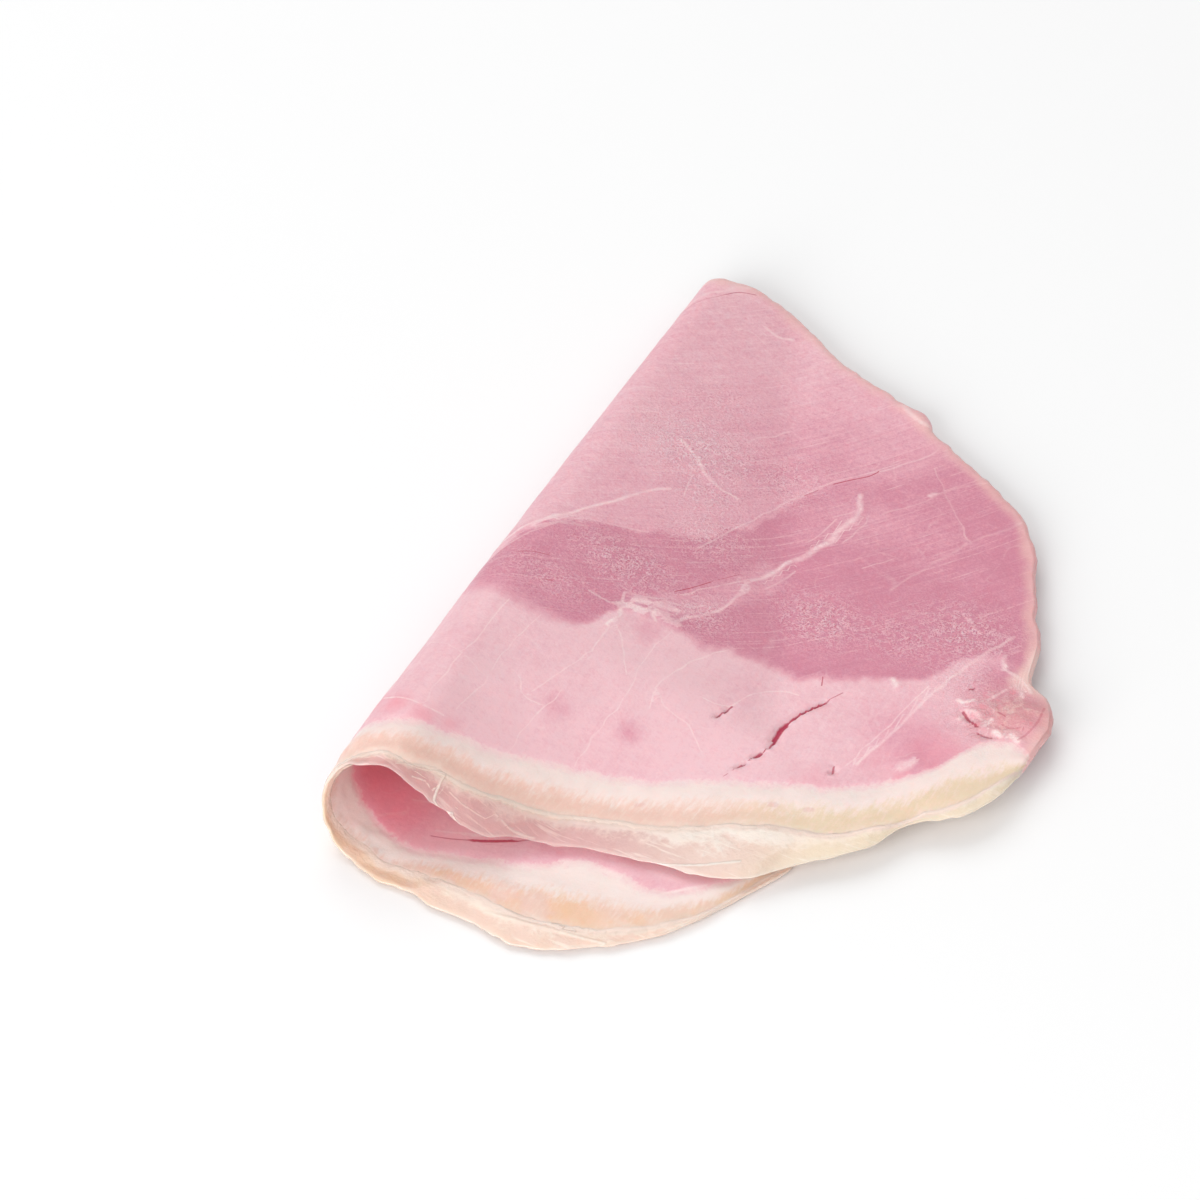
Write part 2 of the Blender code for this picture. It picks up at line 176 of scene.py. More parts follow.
# splits and slits: points, half width, how dark
darkLines = [
    ([(56.2, 50.2), (54.9, 47.8)], 0.1, 0.6),
    ([(54.9, 47.6), (53.6, 45.6), (52.6, 43.7), (52.1, 42.1)], 0.24, 0.95),
    ([(52, 41.6), (51.7, 40.2), (51.8, 38.8), (51.9, 37.6)], 0.46, 1.0),
    ([(51.9, 37.4), (51.9, 36.4)], 0.16, 0.8),
    ([(51.5, 35), (51.1, 34)], 0.3, 0.9),
    ([(50.6, 32.2), (50, 31.2)], 0.2, 0.8),
    ([(49.6, 29.6), (49.2, 28.4)], 0.1, 0.5),
    ([(44.3, 40), (44, 38.8), (43.4, 37)], 0.16, 0.75),
    ([(52.4, 51.6), (53, 50)], 0.12, 0.7),
    ([(36.3, 86.6), (38, 88.4), (40, 90.4), (40.8, 92)], 0.12, 0.8),
    ([(33.8, 82.6), (35.2, 84.8)], 0.09, 0.6),
    ([(27.8, 54.3), (29.4, 56.6), (31, 59.4)], 0.1, 0.75),
    ([(31.6, 60.4), (33.6, 63.4)], 0.07, 0.5),
    ([(7, 47.5), (9, 48.8), (11, 49.5)], 0.1, 0.6),
    ([(12.4, 44.8), (13.6, 45.4)], 0.12, 0.6),
    ([(1.8, 107.2), (2.9, 109.6), (5.1, 113.2)], 0.07, 0.3),
    ([(5.1, 113.2), (6.6, 115.3), (8.9, 116.5)], 0.1, 0.65),
    ([(71.2, 58), (71.6, 58.6)], 0.16, 0.8),
    ([(72.3, 53.7), (73.7, 52.7), (75.2, 51.9)], 0.26, 0.8),
    ([(75.7, 50.9), (76.8, 50.7), (77.9, 50.8)], 0.2, 0.6),
    ([(81.4, 51.6), (82.1, 53.5), (82.4, 55.7), (82.1, 58.4)], 0.2, 0.35),
    ([(78.2, 53.4), (79.6, 53.2), (80.8, 53.8)], 0.2, 0.35),
    ([(76.6, 55.4), (78, 54.8)], 0.12, 0.5),
    ([(61.2, 37.2), (61.6, 35.8)], 0.16, 0.7),
    ([(42, 19), (42.6, 19.4)], 0.5, 0.14),
    ([(57.2, 27), (57.8, 27.2)], 0.55, 0.16),
    ([(61.8, 28.3), (62.5, 28.6)], 0.5, 0.16),
    ([(-17, 3.2), (-20, 4), (-22.6, 5)], 0.13, 0.6),
    ([(-22.4, 4.9), (-25, 6), (-28.4, 7.8)], 0.3, 0.9),
    ([(-28.2, 7.7), (-31.6, 9.8)], 0.12, 0.5),
]

# rough, grainy places on the cut: centre, radii, strength
roughPatches = [
    (17.5, 82, 10, 7, 1.0), (47, 61.5, 6, 4.5, 1.0), (66, 68, 7, 5, 1.0), (20, 55, 9, 5, 0.9),
    (27, 67, 7, 6, 0.7), (12, 46, 9, 4, 0.6), (33, 53, 5, 4, 0.8), (58, 63, 8, 4, 0.6),
    (15, 92, 7, 5, 0.5), (30, 84, 6, 6, 0.6), (76, 56, 6, 6, 0.9), (23, 74, 6, 5, 0.7),
    (70, 60, 5, 5, 0.7),
]

# small places of deeper pink, paler where the strength is below zero: centre, radius, strength
deepSpots = [
    (35.1, 28.3, 1.6, 0.5), (25, 26, 2.0, 0.3), (72, 44, 4.5, 0.5), (80, 57, 4.5, 0.3), (74.5, 64, 3.5, 0.4),
    (74, 60, 4.5, 0.5), (82.5, 57, 2.4, 0.4), (9.5, 28, 3, 0.1), (28, 45.8, 2.6, 0.35), (18, 31, 3, 0.08),
    (66, 47, 5, 0.3), (44, 44, 4, 0.15), (4.4, 117, 3.6, -0.3), (41, 81, 8, -0.3), (54, 82, 9, -0.16),
]

# fresher pink, beside the fat on the loop and at the right end of the lean: centre, radius, strength
warmSpots = [
    (3.5, 13.6, 1.9, 0.9), (7.5, 12.4, 1.8, 0.95), (11.5, 11.9, 1.6, 0.85), (15.0, 13.2, 1.3, 0.5),
    (72.6, 45.0, 3.6, 0.55), (70.5, 38.6, 2.2, 0.6), (66.0, 40.0, 3.0, 0.3), (77.0, 54.5, 4.0, 0.6),
    (60.0, 34.0, 2.5, 0.3),
]

# soft places: centre, then reach, along s and t
places = {
    "redder": (33.0, 86.0, 8.0, 10.0),
    "greyer": (22.0, 68.0, 7.0, 5.0),
    "knuckle": (80.8, 57.0, 3.4, 3.4),
    "knuckleTone": (79.0, 56.0, 5.5, 5.0),
    "gristle": (76.0, 53.5, 4.0, 3.4),
    "orangeBloom": (-41.0, -0.4, 5.0, 3.2),
}

# heights of the relief of the two faces, in millimetres
relief = {
    "swell": 0.16,
    "dimple": 0.07,
    "grain": 0.035,
    "crumb": 0.07,
    "sinew": 0.13,
    "cleft": 0.75,
    "cleftCorner": 0.4,
    "fatStep": 0.16,
    "fatRidge": 0.16,
    "fatGroove": 0.1,
    "knuckle": 0.85,
    "swellBelow": 0.07,
    "grainBelow": 0.03,
    "fatStepBelow": 0.12,
}


def smoothStep(low, high, value):
    q = np.clip((value - low) / (high - low), 0.0, 1.0)
    return q * q * (3.0 - 2.0 * q)


def softNoise(x, y, seed):
    table = np.random.RandomState(seed).uniform(-1.0, 1.0, (256, 256))
    column = np.floor(x).astype(int)
    row = np.floor(y).astype(int)
    u = x - column
    v = y - row
    u = u * u * (3.0 - 2.0 * u)
    v = v * v * (3.0 - 2.0 * v)
    near = table[column % 256, row % 256] * (1 - u) + table[(column + 1) % 256, row % 256] * u
    far = table[column % 256, (row + 1) % 256] * (1 - u) + table[(column + 1) % 256, (row + 1) % 256] * u
    return near * (1 - v) + far * v


def splinePoints(points, steps=12):
    knots = np.array(points, dtype=float)
    last = len(knots) - 1
    curve = []
    for i in range(last):
        before = knots[max(i - 1, 0)]
        start = knots[i]
        end = knots[i + 1]
        after = knots[min(i + 2, last)]
        for k in range(steps):
            u = k / steps
            curve.append(0.5 * (2 * start + (end - before) * u
                                + (2 * before - 5 * start + 4 * end - after) * u ** 2
                                + (3 * start - before - 3 * end + after) * u ** 3))
    curve.append(knots[last])
    return np.array(curve)


def edgeHeight(points, s):
    curve = splinePoints(points)
    return np.interp(s, np.maximum.accumulate(curve[:, 0]), curve[:, 1])


def rimEdge(s):
    ragged = 0.1 * softNoise(s / 1.1, s * 0.0, 31) + 0.45 * softNoise(s / 4.6, s * 0.0, 32)
    lifted = 0.5 + 0.7 * np.exp(-((s - 6.0) / 6.0) ** 2) + 0.7 * np.exp(-((s + 48.0) / 9.0) ** 2)
    lifted = lifted + 0.7 * np.exp(-((s - 46.0) / 11.0) ** 2)
    return edgeHeight(outline["rim"], s) + lifted + ragged * smoothStep(84.0, 78.0, np.abs(s))


def backEdge(s):
    ragged = 0.24 * softNoise(s / 4.0, s * 0.0, 30) + 0.08 * softNoise(s / 0.9, s * 0.0, 33)
    return edgeHeight(outline["back"], s) + ragged * smoothStep(75.0, 68.0, np.abs(s))


def leanEdge(s):
    rim = edgeHeight(outline["rim"], s)
    back = edgeHeight(outline["back"], s)
    wavy = 0.28 * softNoise(s / 2.6, s * 0.0, 34) + 0.16 * softNoise(s / 1.0, s * 0.0, 35)
    return np.minimum(edgeHeight(outline["lean"], s) + wavy, back - 0.3 * (back - rim))


def filmEdge(s):
    rim = rimEdge(s)
    wavy = 0.5 * softNoise(s / 3.4, s * 0.0, 36) + 0.15 * softNoise(s / 1.1, s * 0.0, 37)
    film = np.maximum(edgeHeight(outline["film"], s) + wavy, rim + 0.5)
    return np.minimum(film, leanEdge(s) - 0.8)


def loopRadius(t):
    share = np.clip(t / slab["length"], -0.12, 1.05)
    return slab["loopRadiusRim"] + (slab["loopRadiusTip"] - slab["loopRadiusRim"]) * share


def foldProfile(s, t):
    radius = loopRadius(t)
    drop = 2.0 * radius - slab["thickness"] - slab["layerGap"]
    share = smoothStep(0.0, slab["settleLength"], t)
    settle = slab["settleRadiusRim"] + (slab["settleRadiusTip"] - slab["settleRadiusRim"]) * share
    fall = np.radians(slab["fallAngleRim"] + (slab["fallAngleTip"] - slab["fallAngleRim"]) * share)
    steepest = np.arccos(np.clip(1.0 - 0.8 * drop / (radius + settle), -1.0, 1.0))
    fall = np.minimum(fall, steepest)
    straight = (drop - (radius + settle) * (1.0 - np.cos(fall))) / np.sin(fall)
    arcEnd = radius * (math.pi / 2.0 + fall)
    straightEnd = arcEnd + straight
    settleEnd = straightEnd + settle * fall
    leftZ = radius + slab["thickness"] / 2.0
    turn = math.pi / 2.0 - np.minimum(np.maximum(s, 0.0), arcEnd) / radius
    x = radius * (1.0 - np.sin(turn))
    z = leftZ + radius * np.cos(turn)
    slope = np.clip(s - arcEnd, 0.0, straight)
    x = x + slope * np.cos(fall)
    z = z - slope * np.sin(fall)
    bend = -fall + np.clip(s - straightEnd, 0.0, settle * fall) / settle
    x = x + settle * (np.sin(fall) + np.sin(bend))
    z = z + settle * (np.cos(fall) - np.cos(bend))
    x = x + np.maximum(s - settleEnd, 0.0)
    heading = np.where(s < arcEnd, turn, bend)
    below = np.maximum(-s, 0.0)
    quarter = np.minimum(below, radius * math.pi / 2.0) / radius
    lowerX = radius * (1.0 - np.cos(quarter)) + np.maximum(below - radius * math.pi / 2.0, 0.0)
    lowerZ = leftZ - radius * np.sin(quarter)
    upper = s >= 0.0
    return (np.where(upper, x, lowerX), np.where(upper, z, lowerZ),
            np.where(upper, heading, math.pi / 2.0 + quarter))


def foldedPoint(s, t, offset):
    x, z, heading = foldProfile(s, t)
    bow = slab["bow"] * np.sin(math.pi * np.clip(t / slab["length"], 0.0, 1.0))
    corner = smoothStep(60.0, 86.0, s) * smoothStep(75.0, 50.0, t)
    px = x - offset * np.sin(heading) - bow
    pz = z + offset * np.cos(heading) + slab["cornerLift"] * corner
    return np.stack([px, t + 0.0 * px, pz], axis=-1)


def nearestLine(lines, s, t, reach=1.1):
    # the way to the nearest line, in half widths of that line, and how strong it is
    best = np.full(s.shape, 1e9)
    offset = np.full(s.shape + (3,), 20.0)
    offset[..., 2] = 0.0
    for points, width, strength in lines:
        curve = splinePoints(points, 5) if len(points) > 2 else np.array(points, dtype=float)
        near = ((s > curve[:, 0].min() - reach) & (s < curve[:, 0].max() + reach)
                & (t > curve[:, 1].min() - reach) & (t < curve[:, 1].max() + reach))
        index = np.nonzero(near)[0]
        if len(index) == 0:
            continue
        ps = s[index]
        pt = t[index]
        for a, b in zip(curve[:-1], curve[1:]):
            run = b - a
            u = np.clip(((ps - a[0]) * run[0] + (pt - a[1]) * run[1]) / run.dot(run), 0.0, 1.0)
            ds = ps - a[0] - u * run[0]
            dt = pt - a[1] - u * run[1]
            d = np.hypot(ds, dt)
            closer = (d < best[index]) & (d < reach)
            chosen = index[closer]
            best[chosen] = d[closer]
            offset[chosen, 0] = ds[closer] / width
            offset[chosen, 1] = dt[closer] / width
            offset[chosen, 2] = strength
    return offset


def spot(s, t, centreS, centreT, reachS, reachT):
    return np.exp(-((s - centreS) / reachS) ** 2 - ((t - centreT) / reachT) ** 2)


def patches(s, t):
    return np.max([strength * spot(s, t, *place) for *place, strength in roughPatches], axis=0)


def freshness(s, t):
    return np.max([strength * spot(s, t, cs, ct, radius, radius) for cs, ct, radius, strength in warmSpots], axis=0)


def grainPlace(s, t):
    # the grain runs in arcs about a far centre
    centre = muscle["grainCentre"]
    across = np.hypot(s - centre[0], t - centre[1])
    return across, np.arctan2(t - centre[1], s - centre[0]) * muscle["grainRadius"]


def fatShare(s, t):
    # zero at the clear fat, one at the lean
    film = filmEdge(s)
    return (t - film) / np.maximum(leanEdge(s) - film, 0.3)


def filmShare(s, t):
    # zero at the rim, one where the clear fat ends
    rim = rimEdge(s)
    return (t - rim) / np.maximum(filmEdge(s) - rim, 0.4)


def darkMuscle(s, t):
    # one inside the deep-coloured muscle, less in the pale corridor of sinew that runs into it
    soft = 1.1 + 1.5 * smoothStep(22.0, 12.0, s) + 0.7 * smoothStep(28.0, 40.0, s)
    low = smoothStep(-soft, soft, t - edgeHeight(muscle["darkLow"], s))
    soft = 0.9 + 8.5 * smoothStep(38.0, 58.0, s)
    high = smoothStep(-soft, soft, edgeHeight(muscle["darkHigh"], s) - t)
    way = nearestLine([(muscle["corridor"], 1.0, 1.0)], s, t, 4.5)
    corridor = smoothStep(3.8, 1.2, np.hypot(way[:, 0], way[:, 1]))
    return low * high * (1.0 - 0.8 * corridor)


def meatDepth(s, t):
    # how deep the pink is, from pale (0) to deep (1)
    soft = 1.1 + 1.5 * smoothStep(22.0, 12.0, s)
    above = smoothStep(-soft, soft, t - edgeHeight(muscle["darkLow"], s))
    upper = 0.3 + 0.26 * smoothStep(112.0, 88.0, t) * smoothStep(4.0, 24.0, s) + 0.22 * smoothStep(30.0, 60.0, s)
    upper = upper + 0.2 * spot(s, t, *places["redder"]) - 0.16 * spot(s, t, *places["greyer"])
    pale = 0.03 + 0.16 * smoothStep(44.0, 72.0, s) + 0.13 * smoothStep(13.0, 3.0, s)
    pale = pale + 0.02 * np.sin(0.11 * s + 0.17 * t)
    depth = pale * (1 - above) + upper * above
    deepest = 0.86 + 0.19 * smoothStep(28.0, 36.0, s)
    depth = depth + (1.0 - depth) * darkMuscle(s, t) * deepest
    for cs, ct, radius, strength in deepSpots:
        depth = depth + strength * spot(s, t, cs, ct, radius, radius)
    return np.clip(depth, 0.0, 1.1)


def backDistance(s, t):
    curve = splinePoints(outline["back"], 3)
    nearest = np.full(s.shape, 9.0)
    for a, b in zip(curve[:-1], curve[1:]):
        run = b - a
        length = run.dot(run)
        if length < 1e-9:
            continue
        u = np.clip(((s - a[0]) * run[0] + (t - a[1]) * run[1]) / length, 0.0, 1.0)
        nearest = np.minimum(nearest, np.hypot(s - a[0] - u * run[0], t - a[1] - u * run[1]))
    return nearest


def clefts(s, t):
    # depth of the open splits: only the wider and darker lines of the upper half are cut in
    opened = [(points, width * 1.5, 1.0) for points, width, dark in darkLines
              if width > 0.12 and dark > 0.4 and points[0][0] > 0]
    way = nearestLine(opened, s, t)
    depth = relief["cleft"] + (relief["cleftCorner"] - relief["cleft"]) * smoothStep(66.0, 72.0, s)
    return depth * np.clip(1.15 - np.hypot(way[:, 0], way[:, 1]), 0.0, 1.0)


def outerRelief(s, t):
    lean = t - leanEdge(s)
    across, along = grainPlace(s, t)
    raised = relief["swell"] * softNoise(s / 13.0, t / 13.0, 1) + relief["dimple"] * softNoise(s / 4.0, t / 4.0, 2)
    raised += smoothStep(0.0, 3.0, lean) * relief["grain"] * softNoise(across / 0.9, along / 11.0, 3)
    raised += relief["crumb"] * patches(s, t) * softNoise(s / 0.8, t / 0.8, 4)
    pale = nearestLine([line for line in paleLines if line[1] > 0.2], s, t)
    raised += relief["sinew"] * pale[:, 2] * np.exp(-0.35 * (pale[:, 0] ** 2 + pale[:, 1] ** 2))
    raised -= clefts(s, t)
    raised -= relief["fatStep"] * smoothStep(0.45, -0.45, lean)
    share = np.clip(fatShare(s, t), -0.2, 1.0)
    fat = smoothStep(0.4, -0.4, lean)
    raised += fat * (relief["fatRidge"] * np.exp(-((share - 0.66) / 0.22) ** 2)
                     - relief["fatGroove"] * np.exp(-((share - 0.36) / 0.12) ** 2))
    raised += fat * (0.07 * softNoise(s / 1.1, t / 2.4, 5) + 0.05 * softNoise(s / 0.6, t / 0.6, 6))
    knuckle = spot(s, t, *places["knuckle"]) * (1.0 + 0.3 * softNoise(s / 2.4, t / 1.8, 7))
    raised += relief["knuckle"] * knuckle
    gristle = 0.35 * softNoise(s / 2.0, t / 1.3, 8) + 0.22 * softNoise(s / 0.9, t / 0.8, 9)
    return raised + spot(s, t, *places["gristle"]) * gristle


def lowerRelief(s, t):
    # the lower half is seen from its other face
    fat = smoothStep(0.4, -0.4, t - leanEdge(s))
    lowered = relief["swellBelow"] * softNoise(s / 4.0, t / 4.0, 11)
    lowered += relief["grainBelow"] * softNoise(s / 0.9, t / 5.0, 12)
    lowered -= clefts(s, t)
    lowered -= relief["fatStepBelow"] * fat
    return lowered + fat * (0.09 * softNoise(s / 2.4, t / 1.2, 13) + 0.05 * softNoise(s / 0.7, t / 0.7, 14))


def meatOffsets(s, t):
    upperShare = smoothStep(-10.0, 10.0, s)
    thinning = (slab["thickness"] - slab["rimThickness"]) * smoothStep(slab["rimTaper"], 0.0, t - rimEdge(s))
    thinning = slab["thinnedOutside"] * thinning
    above = outerRelief(s.ravel(), t.ravel()).reshape(s.shape)
    below = lowerRelief(s.ravel(), t.ravel()).reshape(s.shape)
    outer = 0.5 * slab["thickness"] + upperShare * (above - thinning)
    inner = -0.5 * slab["thickness"] + (1 - upperShare) * (thinning - below)
    return outer, inner


def unit(way):
    return way / np.maximum(np.linalg.norm(way, axis=1), 1e-6)[:, None]


def gridMesh(s, t, outer, inner, roundness):
    # a closed sheet: outer face, inner face and three rings that round the cut edge
    rows, columns = s.shape
    loop = [(0, j) for j in range(columns)]
    loop += [(i, columns - 1) for i in range(1, rows)]
    loop += [(rows - 1, j) for j in range(columns - 2, -1, -1)]
    loop += [(i, 0) for i in range(rows - 2, 0, -1)]
    ii, jj = np.array(loop).T
    count = len(loop)
    middle = 0.5 * (outer[ii, jj] + inner[ii, jj])
    half = 0.5 * (outer[ii, jj] - inner[ii, jj])
    outer[ii, jj] = middle + slab["edgeShare"] * half
    inner[ii, jj] = middle - slab["edgeShare"] * half
    border = np.stack([s[ii, jj], t[ii, jj]], axis=-1)
    run = unit(unit(np.roll(border, -1, axis=0) - border) + unit(border - np.roll(border, 1, axis=0)))
    outward = np.stack([run[:, 1], -run[:, 0]], axis=-1)
    flat = [np.stack([s.ravel(), t.ravel(), face.ravel()], axis=-1) for face in (outer, inner)]
    side = [np.ones(s.size), -np.ones(s.size)]
    edge = ii * columns + jj
    rings = [edge]
    # how far each ring stands out, how high it lies and which face it belongs to
    for k, (reach, height, facing) in enumerate(((0.7, 0.55, 0.6), (1.0, 0.0, 0.0), (0.7, -0.55, -0.6))):
        ring = border + outward * (half * roundness * reach)[:, None]
        flat.append(np.column_stack([ring, middle + height * half]))
        side.append(np.full(count, facing))
        rings.append(2 * rows * columns + k * count + np.arange(count))
    rings.append(edge + rows * columns)
    i, j = np.meshgrid(np.arange(rows - 1), np.arange(columns - 1), indexing="ij")
    a = (i * columns + j).ravel()
    top = np.stack([a, a + 1, a + columns + 1, a + columns], axis=-1)
    quads = [top, top[:, ::-1] + rows * columns]
    for high, low in zip(rings[:-1], rings[1:]):
        quads.append(np.stack([high, low, np.roll(low, -1), np.roll(high, -1)], axis=-1))
    return np.concatenate(flat), np.concatenate(side), np.concatenate(quads)


def placed(points):
    # the fold drawing is moved so that the slice lies in the middle of its box, on the table
    return points * mm + shift


def newPiece(name, points, quads, material):
    mesh = bpy.data.meshes.new(name)
    mesh.vertices.add(len(points))
    mesh.vertices.foreach_set("co", points.astype(np.float32).ravel())
    mesh.loops.add(quads.size)
    mesh.loops.foreach_set("vertex_index", quads.astype(np.int32).ravel())
    mesh.polygons.add(len(quads))
    mesh.polygons.foreach_set("loop_start", np.arange(0, quads.size, 4, dtype=np.int32))
    mesh.update(calc_edges=True)
    mesh.validate()
    mesh.shade_smooth()
    mesh.materials.append(material)
    piece = bpy.data.objects.new(name, mesh)
    bpy.context.scene.collection.objects.link(piece)
    return piece


def addAttribute(mesh, name, values):
    layer = mesh.attributes.new(name, "FLOAT_VECTOR", "POINT")
    layer.data.foreach_set("vector", np.ascontiguousarray(values, dtype=np.float32).ravel())


def linear(colour):
    channels = [int(colour[i:i + 2], 16) / 255.0 for i in (0, 2, 4)]
    return tuple(c / 12.92 if c <= 0.04045 else ((c + 0.055) / 1.055) ** 2.4 for c in channels) + (1.0,)


def addNode(tree, kind, settings, inputs, out=0):
    node = tree.nodes.new(kind)
    for name, value in settings.items():
        setattr(node, name, value)
    for name, value in inputs.items():
        socket = node.inputs[name]
        if isinstance(value, bpy.types.NodeSocket):
            tree.links.new(value, socket)
        else:
            socket.default_value = value
    return node.outputs[out] if len(node.outputs) else node


# kinds of node and their settings, for both materials
maths = "ShaderNodeMath"
vectorMaths = "ShaderNodeVectorMath"
ranged = "ShaderNodeMapRange"
mixed = "ShaderNodeMix"
noise = "ShaderNodeTexNoise"
parted = "ShaderNodeSeparateXYZ"
smooth = {"interpolation_type": "SMOOTHSTEP"}
colour = {"data_type": "RGBA", "clamp_factor": True}
lengthOf = {"operation": "LENGTH"}
multiply = {"operation": "MULTIPLY"}
multiplyAdd = {"operation": "MULTIPLY_ADD"}
multiplyClamped = {"operation": "MULTIPLY", "use_clamp": True}
addClamped = {"operation": "ADD", "use_clamp": True}
larger = {"operation": "MAXIMUM"}


def newMaterial(name, attributes):
    # an empty material and the attributes of the mesh that it reads
    material = bpy.data.materials.new(name)
    material.use_nodes = True
    tree = material.node_tree
    tree.nodes.clear()
    return material, tree, {
        attribute: addNode(tree, "ShaderNodeAttribute", {"attribute_name": attribute}, {}, "Vector")
        for attribute in attributes}


# cooked ham: moist cured muscle, cut across, with firm white fat that turns beige towards its edge
meatLook = {
    "pale": "EDC2C8",
    "middle": "E0A2B0",
    "deep": "CD8196",
    "warm": "EC98A6",
    # painted light: a brighter, deeper pink inside the loop for light through the thin meat; also the knuckle's deep
    # red
    "deepPinkAndPaintedLoopLight": "F07C8A",
    "sinew": "F8E0DE",
    "split": "B83652",
    "crumb": "F2CDD3",
    "membrane": "EFD0C8",
    "knuckle": "CE8F90",
    "edgeCream": "E9BFB8",
    "fatWhite": "F0DCD6",
    "fatBeige": "E9C3B5",
    "fatYellow": "E3CDB0",
    "fatPeach": "ECC09E",
    "lipCream": "EFD3C5",
    "roughness": 0.42,
}


def hamMaterial(look):
    tint = {name: linear(value) for name, value in look.items() if name != "roughness"}
    material, tree, whole = newMaterial(
        "cooked ham", ("flat", "edges", "body", "fibre", "cross", "sinew", "split", "tone", "corner"))
    flat = whole["flat"]
    (fromFat, acrossFat, fromBack), (pink, above, rough), (warm, deepPinkAndPaintedLoopLight, yellow), (membrane, knuckle, loopTopAndPaintedLoopLight) = [
        addNode(tree, parted, {}, {0: whole[name]}).node.outputs for name in ("edges", "body", "tone", "corner")]
    sinewStrength, splitStrength = [addNode(tree, parted, {}, {0: whole[name]}, 2) for name in ("sinew", "split")]

    # mottling at 16, 4 and 1 mm, the grain of the cut at 0.5 mm, then strands along and across the muscle
    cloud, blotch, speck, grit, dots, strand, strandFine, weft = [
        addNode(tree, noise, {}, {"Vector": whole[place], "Scale": scale, "Detail": detail, "Roughness": fineness})
        for place, scale, detail, fineness in (
            ("flat", 1 / 16, 2.0, 0.5), ("flat", 1 / 4.5, 3.0, 0.6), ("flat", 1 / 1.1, 3.0, 0.65),
            ("flat", 1 / 0.42, 2.0, 0.7), ("flat", 1 / 0.36, 2.0, 0.6), ("fibre", 1.0, 3.0, 0.6),
            ("fibre", 2.3, 2.0, 0.5), ("cross", 1.0, 3.0, 0.6))]
    streak = addNode(tree, mixed, {"data_type": "FLOAT"}, {0: above, 2: weft, 3: strand})

    # hairlines of connective tissue 8 mm apart, and the crumb of the rough places at 0.3 mm
    cells = []
    for scale, cellScale, bend in ((1 / 6.0, 1 / 8.5, 5.0), (1 / 0.5, 1 / 0.34, 0.6)):
        bent = addNode(tree, noise, {}, {"Vector": flat, "Scale": scale, "Detail": 2.0}, "Color")
        bent = addNode(tree, vectorMaths, multiplyAdd, {0: bent, 1: (bend, bend, 0.0), 2: flat})
        cells.append(addNode(tree, "ShaderNodeTexVoronoi", {"feature": "DISTANCE_TO_EDGE"},
                             {"Vector": bent, "Scale": cellScale}))
    net, crumbs = cells

    # long fibres drawn across the deep-coloured muscle, and short strokes half a millimetre wide across the fat
    combed = addNode(tree, vectorMaths, multiply, {0: whole["fibre"], 1: (1.5, 0.3, 1.0)})
    combed = addNode(tree, noise, {}, {"Vector": combed, "Scale": 1.0, "Detail": 1.0})
    strokes = addNode(tree, vectorMaths, multiply, {0: flat, 1: (1.7, 0.45, 1.0)})
    strokes = addNode(tree, noise, {}, {"Vector": strokes, "Scale": 1.0, "Detail": 3.0, "Roughness": 0.65})

    # the way to the nearest sinew and split, in half widths
    sinewAway, splitAway = [
        addNode(tree, vectorMaths, lengthOf, {
            0: addNode(tree, vectorMaths, multiply, {0: whole[name], 1: (1.0, 1.0, 0.0)})}, "Value")
        for name in ("sinew", "split")]

    # sums of patterns: name, start, and what is added how strongly
    total = {}
    for name, start, terms in (
            ("wander", -1.385, ((cloud, 0.3), (blotch, 0.42), (streak, 0.5), (speck, 0.75), (grit, 0.8))),
            ("calm", 0.6, ((above, 0.4),)),
            ("fresher", 0.5, ((blotch, 0.5),)),
            ("grainy", 0.0, ((rough, 1.0), (above, 0.12))),
            ("rind", 0.0, ((fromBack, 1.0), (blotch, -3.0))),
            ("knot", -0.42, ((speck, 0.8), (blotch, 1.1))),
            ("line", 0.0, ((sinewAway, 1.0), (speck, 1.1))),
            ("gap", 0.0, ((splitAway, 1.0), (speck, 0.9))),
            ("bolder", 1.4, ((above, -0.4),)),
            ("share", -0.25, ((acrossFat, 1.0), (blotch, 0.36), (loopTopAndPaintedLoopLight, -0.1), (speck, 0.16), (strokes, 0.5))),
            ("border", -1.45, ((fromFat, 1.0), (speck, 1.5), (grit, 0.9), (blotch, 1.2))),
            ("gritHeight", 0.012, ((rough, 0.13),))):
        total[name] = start
        for pattern, strength in terms:
            total[name] = addNode(tree, maths, multiplyAdd, {0: pattern, 1: strength, 2: total[name]})
    depth = addNode(tree, maths, multiplyAdd, {0: total["wander"], 1: total["calm"], 2: pink})
    # inside the loop the fat is painted whiter, painted light in its shade: more white share there and no peach or
    # bloom
    outOfLoop = addNode(tree, maths, addClamped, {0: loopTopAndPaintedLoopLight, 1: 1.0})
    fresh = addNode(tree, maths, multiplyClamped, {0: warm, 1: 2.2})

    # masks that change evenly: name, pattern, from, to, values there
    mask = {}
    for name, pattern, low, high, least, most in (
            ("middle", depth, 0.0, 0.5, 0.0, 1.0),
            ("deep", depth, 0.5, 1.0, 0.0, 1.0),
            ("crumbShow", pink, 0.5, 0.85, 1.0, 0.72),
            ("pitShow", pink, 0.5, 0.85, 0.2, 0.42),
            ("lineShow", blotch, 0.35, 0.6, 0.35, 0.85),
            ("frayed", grit, 0.35, 0.6, 0.5, 1.0),
            ("gloss", blotch, 0.3, 0.7, look["roughness"] - 0.08, look["roughness"] + 0.1)):
        mask[name] = addNode(tree, ranged, {}, {"Value": pattern, "From Min": low, "From Max": high,
                                                "To Min": least, "To Max": most})

